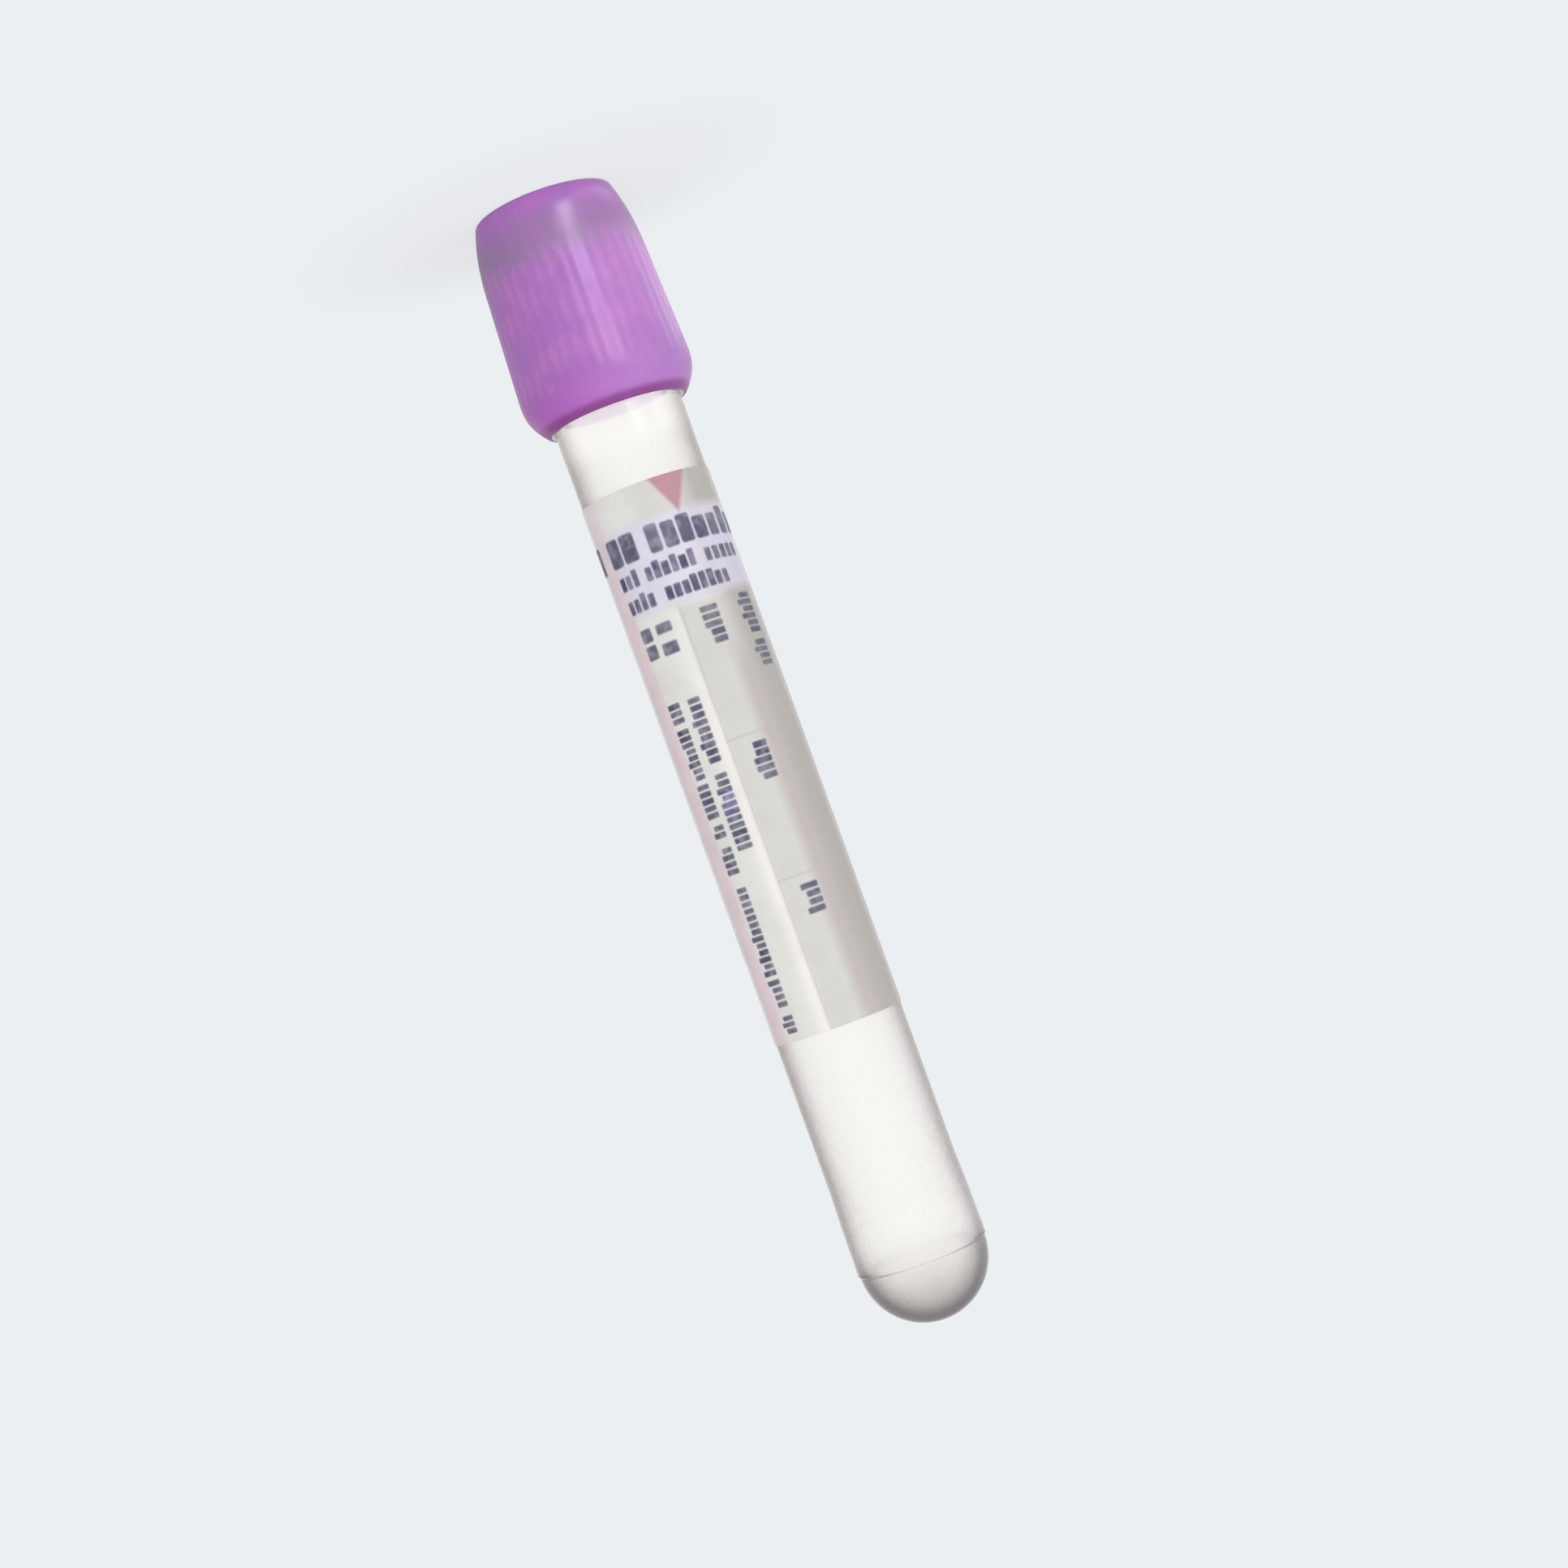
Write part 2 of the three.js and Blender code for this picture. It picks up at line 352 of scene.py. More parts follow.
def bridge_open_ends():
    """Joins the two open ends of a pulled outline."""
    bpy.ops.mesh.select_all(action="DESELECT")
    bpy.ops.mesh.select_non_manifold()
    bpy.ops.mesh.bridge_edge_loops()


def finish_piece(piece, sharp_angle, body, node, material):
    """Closes edit mode, smooths the piece, and puts it on its body in the CAD node's stead."""
    bpy.ops.mesh.select_all(action="SELECT")
    bpy.ops.mesh.normals_make_consistent(inside=False)
    bpy.ops.mesh.select_all(action="DESELECT")
    bpy.ops.object.mode_set(mode="OBJECT")
    bpy.ops.object.shade_smooth_by_angle(angle=math.radians(sharp_angle))
    piece.data.materials.append(material)
    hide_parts(node)
    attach(piece, body)


# ---------------------------------------------------------------- materials


class Signal:
    """A shader value that takes part in arithmetic: each operation adds a Math node."""

    def __init__(self, finish, socket):
        self.finish = finish
        self.socket = socket

    def __add__(self, other):
        return self.finish.math("ADD", self, other)

    def __sub__(self, other):
        return self.finish.math("SUBTRACT", self, other)

    def __mul__(self, other):
        return self.finish.math("MULTIPLY", self, other)

    def __truediv__(self, other):
        return self.finish.math("DIVIDE", self, other)

    def __radd__(self, other):
        return self.finish.math("ADD", other, self)

    def __rsub__(self, other):
        return self.finish.math("SUBTRACT", other, self)

    def __abs__(self):
        return self.finish.math("ABSOLUTE", self)


class Finish:
    """A node tree being wired: a new material, or the world."""

    def __init__(self, owner):
        owner.use_nodes = True
        self.tree = owner.node_tree
        self.tree.nodes.clear()

    def node(self, kind, settings=None, sockets=None):
        """Adds a node: first its settings, then the value or link of each socket."""
        node = self.tree.nodes.new(kind)
        for name, value in (settings or {}).items():
            setattr(node, name, value)
        for name, value in (sockets or {}).items():
            socket = node.inputs[name]
            if isinstance(value, Signal):
                self.tree.links.new(value.socket, socket)
            else:
                socket.default_value = value
        return node

    def signal(self, kind, output, settings=None, sockets=None):
        return Signal(self, self.node(kind, settings, sockets).outputs[output])

    def math(self, operation, *values):
        settings = {"operation": operation}
        return self.signal("ShaderNodeMath", 0, settings, dict(enumerate(values)))

    def hypot(self, first, *others):
        """The root of the sum of the squares."""
        total = first * first
        for value in others:
            total = total + value * value
        return self.math("SQRT", total)

    def mix(self, factor, start, end):
        """A colour between two others, each of them a signal or plain."""
        settings = {"data_type": "RGBA", "clamp_factor": True}
        start, end = [c if isinstance(c, Signal) else opaque(c) for c in (start, end)]
        return self.signal("ShaderNodeMix", 2, settings, {0: factor, 6: start, 7: end})

    def ramp(self, value, start, end, low=0.0, high=1.0, smooth=True):
        """Runs from low to high while the value runs from start to end, and stays there."""
        settings = {"interpolation_type": "SMOOTHSTEP" if smooth else "LINEAR"}
        sockets = {0: value, 1: start, 2: end, 3: low, 4: high}
        return self.signal("ShaderNodeMapRange", 0, settings, sockets)

    def band(self, value, low, high, edge):
        """1 between low and high, with an edge that fades over this width."""
        half = (high - low) / 2
        distance = abs(value - (low + high) / 2)
        return self.ramp(distance, half + edge / 2, half - edge / 2, smooth=False)

    def noise(self, vector, scale, detail=2.0, roughness=0.5):
        sockets = {"Vector": vector, "Scale": scale, "Detail": detail, "Roughness": roughness}
        return self.signal("ShaderNodeTexNoise", "Fac", None, sockets)

    def stretched(self, vector, scale):
        """The coordinates scaled by axis, for grain that runs one way."""
        return self.signal("ShaderNodeMapping", 0, None, {"Vector": vector, "Scale": scale})

    def bump(self, height, distance, strength=1.0):
        sockets = {"Height": height, "Distance": distance, "Strength": strength}
        return self.signal("ShaderNodeBump", 0, None, sockets)

    def rays(self):
        """Whether light goes to the camera, to a glossy surface or through a clear one."""
        path = self.node("ShaderNodeLightPath")
        names = ("Is Camera Ray", "Is Glossy Ray", "Is Transmission Ray")
        return [Signal(self, path.outputs[name]) for name in names]

    def surface(self, shader):
        self.tree.links.new(
            shader.socket, self.node("ShaderNodeOutputMaterial").inputs["Surface"]
        )


def opaque(plain):
    """A plain colour with full alpha."""
    return (*plain, 1.0)


def new_finish(name):
    """A new material with its coordinates: the vector, and x, y and z in millimetres."""
    material = bpy.data.materials.new(name)
    finish = Finish(material)
    place = finish.signal("ShaderNodeTexCoord", "Object")
    in_mm = finish.signal(
        "ShaderNodeVectorMath", 0, {"operation": "MULTIPLY"}, {0: place, 1: (1 / MM,) * 3}
    )
    axes = finish.node("ShaderNodeSeparateXYZ", None, {0: in_mm})
    return material, finish, in_mm, [Signal(finish, output) for output in axes.outputs]


def principled(finish, **sockets):
    """Ends a finish in a Principled shader, with its sockets as named arguments."""
    names = {
        name.replace("_", " ").title().replace("Ior", "IOR"): value
        for name, value in sockets.items()
    }
    finish.surface(finish.signal("ShaderNodeBsdfPrincipled", 0, None, names))


def shield_finish(settings):
    """Cloudy lavender plastic, greyed at its shoulder and darkened at its lip by painted shade.

    Low down, painted shade deepens one side and painted light pales the other. Its flutes' crests
    are paler, partly wear and partly a painted highlight. Its inside is paler with painted light,
    and has a painted glow in the last millimetre or so before the lip.
    """
    material, f, place, (x, y, z) = new_finish("lavender_plastic")
    angle = f.math("ARCTAN2", x, 0 - y)
    crest = f.math("COSINE", angle * settings.flutes) * 0.5 + 0.5
    fluted = f.band(z, FLUTES_FROM_Z, FLUTES_TO_Z, edge=FLUTE_RUN_OUT)
    clouds = f.noise(place, 0.28, detail=3)
    blotches = f.noise(f.stretched(place, (1, 1, 0.45)), 0.9, detail=2)
    grain = f.noise(place, 7.0, detail=3, roughness=0.6)
    colour = f.mix(f.ramp(clouds, 0.35, 0.65), settings.colour, settings.warm_colour)
    colour = f.mix(f.ramp(blotches, 0.45, 0.75, high=0.35), colour, settings.cool_colour)
    # Painted shade: a greyer band round the shoulder, broken up by blotches and weaker on one side
    shoulder_shade = f.band(z, *SHOULDER_SHADE_Z, edge=SHOULDER_SHADE_FADE) * f.ramp(blotches, 0.25, 0.6, low=0.55)
    shoulder_shade = shoulder_shade * f.ramp(x, *SHOULDER_SHADE_X, low=0.6)
    colour = f.mix(shoulder_shade * 0.9, colour, settings.shoulder_shade_colour)
    # Painted shade and painted light: low on the shield, deeper on one side and paler on the other
    low_light_and_shade = f.mix(f.ramp(x, *LOW_SHADE_X), settings.shaded_side_colour, settings.lit_side_colour)
    colour = f.mix(f.ramp(z, *LOW_SHADE_Z, high=0.6), colour, low_light_and_shade)
    # Paler flute crests: partly wear and partly a painted highlight that shows the flutes
    crest_wear_and_highlight = crest * fluted * f.ramp(grain, 0.3, 0.7) * f.ramp(clouds, 0.4, 0.6)
    colour = f.mix(crest_wear_and_highlight * 0.4, colour, settings.crest_wear_and_highlight_colour)
    # Painted shade: the lip darker
    lip = f.ramp(z, LIP_Z - 1.0, LIP_Z - 0.35)
    colour = f.mix(lip * 0.9, colour, settings.lip_shade_colour)
    # Painted light: the skirt's inside paler
    within = f.ramp(z, LIP_Z - 0.8, LIP_Z - 0.6, SKIRT_RADIUS + 0.1, LIP_RADIUS + 0.08)
    inside = f.ramp(f.hypot(x, y) - within, 0.03, -0.03)
    inside = inside * f.ramp(z, MOUTH_Z - 0.1, MOUTH_Z + 0.1)
    colour = f.mix(inside, colour, settings.lit_inside_colour)
    # Painted glow near the lip, brighter front and back than at the sides
    lip_glow = inside * f.ramp(z, LIP_Z - 1.5, LIP_Z - 1.1)
    lip_glow = lip_glow * f.ramp(abs(x), *LIP_GLOW_X, low=0.35)
    principled(
        f,
        base_color=colour,
        roughness=f.ramp(clouds, 0.3, 0.7, low=0.3, high=0.4) + grain * 0.06,
        ior=1.49,
        emission_color=f.mix(lip_glow, BLACK, settings.painted_glow_colour),
        emission_strength=1.0,
        subsurface_weight=0.12,
        subsurface_radius=(1.2, 0.6, 1.3),
        subsurface_scale=0.6 * MM,
        normal=f.bump(grain, 0.012 * MM),
    )
    return material


def rubber_finish(settings):
    """Matt mauve rubber with a mould-dull grain and a dusting of pale bloom."""
    material, f, place, _ = new_finish("stopper_rubber")
    clouds = f.noise(place, 0.5, detail=3)
    grain = f.noise(place, 9.0, detail=4, roughness=0.65)
    dusted = grain * f.ramp(clouds, 0.35, 0.7, low=0.7, high=1.1)
    bloom = f.ramp(dusted, 0.52, 0.72, high=0.4)
    colour = f.mix(f.ramp(clouds, 0.3, 0.7), settings.colour, settings.shade_colour)
    principled(
        f,
        base_color=f.mix(bloom, colour, settings.bloom_colour),
        roughness=f.ramp(grain, 0.2, 0.8, low=0.62, high=0.82),
        ior=1.5,
        specular_ior_level=0.35,
        normal=f.bump(grain, 0.03 * MM),
    )
    return material


def tube_finish(settings):
    """Clear moulded plastic, greyed edge on and in the dome by painted shade, its bore dulled by a
    dried mist.

    The mist leaves the neck by the closure nearly clear.
    """
    material, f, place, (x, y, z) = new_finish("clear_plastic")
    facing = f.signal("ShaderNodeLayerWeight", "Facing", None, {"Blend": 0.5})
    flow = f.noise(f.stretched(place, (0.5, 0.5, 0.06)), 0.7)
    scuffs = f.noise(f.stretched(place, (6, 6, 0.35)), 1.2, detail=3)
    dome = f.math("MAXIMUM", z - DOME_Z, 0)
    bore = f.ramp(f.hypot(x, y, dome), *WALL_MIDDLE)
    specks = f.noise(place, 0.9, detail=2)
    drifts = f.noise(place, 0.16, detail=2)
    mist = specks * f.ramp(drifts, 0.3, 0.7, low=0.8, high=1.2)
    mist = f.ramp(mist, 0.45, 0.8, low=0.26, high=0.3)
    mist = mist * f.ramp(z, LIP_Z + 1.5, LIP_Z + 4.5, low=0.25)
    # Painted shade, on top of what refraction gives: the plastic greyer edge on, darker edge on at
    # the dome, and greyer over the dome's top
    rim = f.ramp(z, DOME_Z - 3, DOME_Z + 1)
    edge = f.ramp(facing + rim * 0.11, settings.edge_shade_start, settings.edge_shade_end)
    dome_shade = f.ramp(z, DOME_Z - 2, TUBE_END_Z, smooth=False)
    colour = f.mix(dome_shade, settings.colour, settings.dome_shade_colour)
    edge_shaded = f.mix(rim, settings.edge_shade_colour, settings.dome_edge_shade_colour)
    edge_shaded = f.mix(edge, colour, edge_shaded)
    polish = f.ramp(scuffs, 0.55, 0.8, low=0.08, high=0.18)
    principled(
        f,
        base_color=f.mix(bore, edge_shaded, settings.colour),
        roughness=f.math("MAXIMUM", polish, bore * mist),
        ior=1.57,
        transmission_weight=1.0,
        normal=f.bump(flow, 0.02 * MM, strength=0.35),
    )
    return material


def overhead(f, height, plain, dimmed):
    """The surroundings' colour by height: even all round, and dimmed overhead."""
    return f.mix(f.ramp(height, *UPWARDS), plain, [part * dimmed for part in plain])


def floor_finish(settings):
    """A pale floor. Only round the object does it show the lamps' light and the shadow."""
    material, f, _, (x, y, _) = new_finish("floor")
    camera, glossy, transmission = f.rays()
    away = f.hypot(x, y)
    left = f.ramp(x / away, *LEFTWARDS) * settings.left_shade
    mirrored = f.mix(left, settings.reflected, BLACK)
    seen = f.mix(glossy, settings.backdrop, mirrored)
    seen = f.mix(transmission, seen, settings.seen_through)
    shadow = (settings.shadow_from / MM, settings.shadow_to / MM)
    far = f.ramp(away, *shadow, low=settings.near_share)
    plain = f.math("MAXIMUM", camera * far, glossy)
    plain = f.math("MAXIMUM", plain, transmission)
    lit = f.signal("ShaderNodeBsdfDiffuse", 0, None, {"Color": opaque(settings.floor_colour)})
    glow = f.signal("ShaderNodeEmission", 0, None, {"Color": seen})
    f.surface(f.signal("ShaderNodeMixShader", 0, None, {0: plain, 1: lit, 2: glow}))
    return material


def soft_block(f, across, up, half_width, half_height, corner):
    """A block with rounded corners and soft edges about the origin of its own two directions."""
    aside = f.math("MAXIMUM", abs(across) - (half_width - corner), 0)
    above = f.math("MAXIMUM", abs(up) - (half_height - corner), 0)
    return f.ramp(f.hypot(aside, above), corner + 0.1, corner - 0.16)


def block_line(f, along, across, span, words, pitch, first):
    """A line of rounded blocks in words: they stand on one line, and are of two heights."""
    low, high = span
    size = high - low
    cell = first
    for start, end in words:
        blocks = max(1, round((end - start) / pitch))
        cell = cell + f.ramp(along, start, end, 0, blocks, smooth=False)
    number = f.math("FLOOR", cell)
    white_noise = ("ShaderNodeTexWhiteNoise", "Value", {"noise_dimensions": "1D"})
    rise = f.signal(*white_noise, {"W": number})
    shape = f.signal(*white_noise, {"W": number + 0.5})
    tall = f.ramp(rise, 0.5, 0.52, low=0.4 * size, high=0.5 * size)
    column = (f.math("FRACT", cell) - 0.5) * pitch
    wide = (shape * 0.08 + 0.4) * pitch
    block = soft_block(f, column, high - across - tall, wide, tall, corner=0.12 * size)
    apart = f.ramp(abs(column), 0.5 * pitch, 0.5 * pitch - 0.06, smooth=False)
    return block * apart * (0.86 + shape * 0.14)


def label_print(f, girth, down):
    """The mask of ink: three lines of blocks round the label, four down it, and the wide blocks."""
    lines = [(girth, down, *line) for line in LINES_ROUND]
    lines += [(down, girth, *line) for line in LINES_DOWN]
    ink = None
    for line in lines:
        mask = block_line(f, *line)
        ink = mask if ink is None else f.math("MAXIMUM", ink, mask)
    for middle, half_width, start, end in WIDE_BLOCKS:
        along = down - (start + end) / 2
        half_height = (end - start) / 2
        block = soft_block(f, girth - middle, along, half_width, half_height, corner=0.2)
        ink = f.math("MAXIMUM", ink, block * 0.9)
    return ink


def label_finish(settings):
    """Pale film printed with plain fields, rules, a fill mark and lines of small blocks.

    Painted shade greys the fields and darkens the side beyond them, a painted highlight runs down a
    strip, and painted light makes the left side and both edges paler. Its inside is bare, with a
    faint painted glow.
    """
    material, f, place, (x, y, z) = new_finish("label_film")
    girth = f.math("ARCTAN2", 0 - x, 0 - y) * (MOUTH_RADIUS + LABEL_GLUE)
    down = z - LABEL_Z
    above_tube = f.hypot(x, y) + (z - MOUTH_Z) * TUBE_DRAFT - MOUTH_RADIUS
    printed = f.ramp(above_tube, LABEL_GLUE + 0.01, LABEL_GLUE + 0.03)
    clouds = f.noise(place, 0.35, detail=2)
    fibre = f.noise(f.stretched(place, (5, 5, 3)), 2.2, detail=3)
    ink = label_print(f, girth, down)
    unevenness = f.noise(place, 1.1, detail=1)
    ink = ink * f.ramp(unevenness, 0.3, 0.6, low=0.8)
    below = f.ramp(down, *FIELDS_FROM)
    # Painted shade: a greyer ground over the fields and beside the header
    fields = f.ramp(girth, *FIELDS_EDGE) * below
    fields = f.math("MAXIMUM", fields, f.ramp(girth, *HEADER_EDGE) * (1 - below))
    # Painted shade: the side beyond the fields darker, fading back round the back
    right = f.ramp(girth, *SIDE_SHADE[0]) * f.ramp(girth, *SIDE_SHADE[1])
    colour = f.mix(fields, settings.film_colour, settings.fields_shade_colour)
    colour = f.mix(right, colour, settings.side_shade_and_cloud_colour)
    # Painted light: the left side paler
    colour = f.mix(f.ramp(girth, *LIT_SIDE, high=0.6), colour, settings.highlight_colour)
    header = f.band(down, *HEADER, edge=0.9)
    colour = f.mix(header * 0.8, colour, settings.header_colour)
    # Painted highlight: a pale strip down the fields
    strip = f.band(girth, *HIGHLIGHT_STRIP, edge=0.9) * below * f.ramp(down, 14, 26, low=0.25)
    colour = f.mix(strip, colour, settings.highlight_colour)
    fields_line = f.band(girth, *FIELD_LINE, edge=0.2) * below
    colour = f.mix(fields_line * 0.3, colour, settings.rule_colour)
    rules = f.math("MAXIMUM", *[f.band(down, *rule, edge=0.15) for rule in RULES])
    rules = rules * f.band(girth, *RULE_SPAN, edge=0.2)
    colour = f.mix(rules * 0.3, colour, settings.rule_colour)
    # Painted light: both edges of the label paler, the left more
    left_lit_edge = f.ramp(girth, *LIT_EDGES[0], high=0.9)
    right_lit_edge = f.ramp(girth, *LIT_EDGES[1], high=0.25)
    stripe = f.band(girth, *PINK_STRIPE, edge=0.6) * f.ramp(down, 2, 10, low=0.5)
    colour = f.mix(stripe, colour, settings.stripe_colour)
    margin = f.band(girth, *FIELD_MARGIN, edge=1.2) * f.ramp(down, 15, 20, low=0.3)
    colour = f.mix(margin * 0.6, colour, settings.margin_colour)
    sides = f.math("MAXIMUM", left_lit_edge, right_lit_edge)
    colour = f.mix(sides, colour, settings.lit_edges_colour)
    reach = (MARK_HEIGHT - down) * (MARK_HALF_WIDTH / MARK_HEIGHT) - abs(girth - MARK_MIDDLE)
    colour = f.mix(f.ramp(reach, -0.3, 0.3), colour, settings.mark_colour)
    violet = f.band(girth, *VIOLET_WORD[0], edge=0.3) * f.band(down, *VIOLET_WORD[1], edge=0.6)
    ink_colour = f.mix(violet, settings.ink_colour, settings.violet_colour)
    colour = f.mix(ink, colour, ink_colour)
    # Uneven tone: clouds towards the side's painted-shade colour
    colour = f.mix(f.ramp(clouds, 0.4, 0.7, high=0.12), colour, settings.side_shade_and_cloud_colour)
    principled(
        f,
        base_color=f.mix(printed, settings.film_colour, colour),
        roughness=f.ramp(fibre, 0.2, 0.8, low=0.5, high=0.62) - ink * 0.08,
        ior=1.46,
        # Painted glow on the bare inside
        emission_color=f.mix(printed, settings.painted_glow_colour, BLACK),
        emission_strength=1.0,
        normal=f.bump(fibre, 0.008 * MM),
    )
    return material


# ---------------------------------------------------------------- settings


def length(name, description, millimetres):
    return FloatProperty(
        name=name,
        description=description,
        default=millimetres * MM,
        min=0,
        precision=5,
        unit="LENGTH",
    )


def colour(name, description, default):
    return FloatVectorProperty(
        name=name, description=description, default=default, size=3, min=0, max=1, subtype="COLOR"
    )


def share(name, description, default):
    return FloatProperty(name=name, description=description, default=default, subtype="FACTOR")


def power(name, description, watts):
    return FloatProperty(name=name, description=description, default=watts, min=0, unit="POWER")


def angle(name, description, radians):
    return FloatProperty(name=name, description=description, default=radians, subtype="ANGLE")


class ShieldSettings(bpy.types.PropertyGroup):
    flutes: IntProperty(
        name="Flutes", description="How many flutes run down the shield", default=40, min=3
    )
    flute_depth: length("Flute depth", "How deep the flutes are", 0.045)
    colour: colour("Colour", "Main colour of the plastic", (0.415, 0.155, 0.515))
    warm_colour: colour("Warm cloud", "Pinker cloud in the plastic", (0.46, 0.16, 0.52))
    cool_colour: colour("Cool cloud", "Bluer cloud in the plastic", (0.38, 0.165, 0.54))
    # Painted shade: the shoulder's greyer colour
    shoulder_shade_colour: colour("Worn shoulder", "Greyer colour at the shoulder", (0.3, 0.19, 0.35))
    # Painted shade and painted light: the deeper and the paler low sides
    shaded_side_colour: colour("Deep cloud", "Deeper colour low on one side", (0.42, 0.1, 0.48))
    lit_side_colour: colour("Pale cloud", "Paler colour low on the other side", (0.44, 0.2, 0.55))
    # Painted shade: the lip's darker colour
    lip_shade_colour: colour("Lip", "Darker colour of the thin lip", (0.25, 0.05, 0.25))
    # Painted light: the skirt's paler inside
    lit_inside_colour: colour("Inside", "Paler colour of the skirt's inside", (0.9, 0.86, 0.92))
    # Painted glow near the lip
    painted_glow_colour: colour("Glow", "Light that shines through near the lip", (0.7, 0.62, 0.7))
    # Partly wear and partly a painted highlight: the paler flute crests
    crest_wear_and_highlight_colour: colour("Rubbed crests", "Paler colour of the flutes' crests", (0.56, 0.3, 0.64))


class StopperSettings(bpy.types.PropertyGroup):
    wall: length("Plug wall", "Thickness of the hollow plug's wall", 1.6)
    diaphragm: length("Diaphragm", "Thickness that the needle passes through", 3)
    groove_depth: length("Groove depth", "How deep the sealing grooves are", 0.25)
    groove_width: length("Groove width", "How wide the sealing grooves are", 1.1)
    colour: colour("Colour", "Main colour of the rubber", (0.45, 0.36, 0.47))
    shade_colour: colour("Shade", "Darker cloud in the rubber", (0.38, 0.3, 0.41))
    bloom_colour: colour("Bloom", "Pale dusting on the rubber", (0.6, 0.54, 0.62))


class TubeSettings(bpy.types.PropertyGroup):
    wall: length("Wall", "Thickness of the tube's straight wall", TUBE_WALL)
    colour: colour("Colour", "Tint of the clear plastic", (1.0, 0.995, 0.985))
    # Painted shade: the tints edge on, at the dome's edge and over the dome
    edge_shade_colour: colour("Edge", "Tint of the plastic seen edge on", (0.42, 0.36, 0.35))
    dome_shade_colour: colour("Dome", "Tint of the thicker plastic at the dome's top", (0.6, 0.575, 0.56))
    dome_edge_shade_colour: colour("Dome edge", "Tint of the dome seen edge on", (0.12, 0.1, 0.115))
    edge_shade_start: share("Edge start", "How far from face on the tint sets in", 0.2)
    edge_shade_end: share("Edge end", "How far from face on the tint is full", 0.68)


class LabelSettings(bpy.types.PropertyGroup):
    thickness: length("Thickness", "Thickness of the film", 0.06)
    film_colour: colour("Film", "Colour of the film's plain ground", (0.765, 0.765, 0.725))
    # Painted shade: the fields' greyer ground
    fields_shade_colour: colour("Fields", "Colour of the writing fields", (0.63, 0.62, 0.59))
    # Painted shade: the side's darker ground, also used for the film's clouds
    side_shade_and_cloud_colour: colour("Side", "Colour of the ground beyond the fields", (0.465, 0.44, 0.415))
    header_colour: colour("Header", "Colour behind the header's lines", (0.72, 0.68, 0.82))
    # Painted highlight and painted light: the pale strip and the paler left side
    highlight_colour: colour("Strip", "Colour of the pale strip beside the fields", (0.87, 0.82, 0.8))
    # Painted light: the paler edges
    lit_edges_colour: colour("Bright sides", "Paler colour of the sides", (0.96, 0.93, 0.93))
    # Painted glow on the label's inside
    painted_glow_colour: colour("Glow", "Light that shines through to the inside", (0.2, 0.2, 0.19))
    stripe_colour: colour("Stripe", "Colour of the pink stripe", (0.84, 0.68, 0.72))
    margin_colour: colour("Margin", "Colour of the fields' dull pink margin", (0.46, 0.375, 0.375))
    mark_colour: colour("Fill mark", "Colour of the fill mark", (0.5, 0.245, 0.29))
    rule_colour: colour("Rules", "Colour of the thin rules", (0.42, 0.38, 0.4))
    ink_colour: colour("Ink", "Colour of the printed blocks", (0.06, 0.055, 0.13))
    violet_colour: colour("Violet ink", "Colour of the few violet blocks", (0.12, 0.08, 0.28))


class StageSettings(bpy.types.PropertyGroup):
    backdrop: colour("Backdrop", "Colour that the camera sees behind", (0.838, 0.863, 0.88))
    reflected: colour("Reflected", "Colour that glossy surfaces reflect", (0.9, 0.895, 0.89))
    seen_through: colour("Seen through", "Colour that clear plastic shows", (1.0, 0.995, 0.985))
    overhead: share("Overhead", "Share of the surroundings' light that is left overhead", 0.5)
    left_shade: share("Left shade", "How much darker the left side is to gloss", 0.45)
    ambient: FloatProperty(
        name="Ambient", description="Strength of the light from all round", default=0.8, min=0
    )
    key_power: power("Key lamp", "Power of the main soft lamp", 5.7)
    fill_power: power("Fill lamp", "Power of the other soft lamp", 4.6)
    near_power: power("Near card", "Power of the narrow card", 0.001)
    far_power: power("Far card", "Power of the card beyond it", 0.012)
    side_power: power("Side card", "Power of the wide card", 0.025)
    foot_power: power("Foot card", "Power of the card at the closure's foot", 0.00006)
    floor_colour: colour("Floor", "Colour of the floor near the object", (0.838, 0.863, 0.88))
    near_share: share("Floor glow", "Share of plain backdrop colour in the near floor", 0.8)
    shadow_from: length("Shadow fades from", "Where the shadow starts to fade", 11)
    shadow_to: length("Shadow fades to", "Where the shadow has gone", 30)
    lens: FloatProperty(
        name="Lens", description="Focal length of the camera", default=63.56, min=1, unit="CAMERA"
    )
    tilt: angle("Tilt", "How far the camera looks down", 0.033)
    roll: angle("Roll", "How far the camera is rolled", math.radians(160.05))


class TubeKitSettings(bpy.types.PropertyGroup):
    shield: PointerProperty(type=ShieldSettings)
    stopper: PointerProperty(type=StopperSettings)
    tube: PointerProperty(type=TubeSettings)
    label: PointerProperty(type=LabelSettings)
    stage: PointerProperty(type=StageSettings)


# ---------------------------------------------------------------- operators


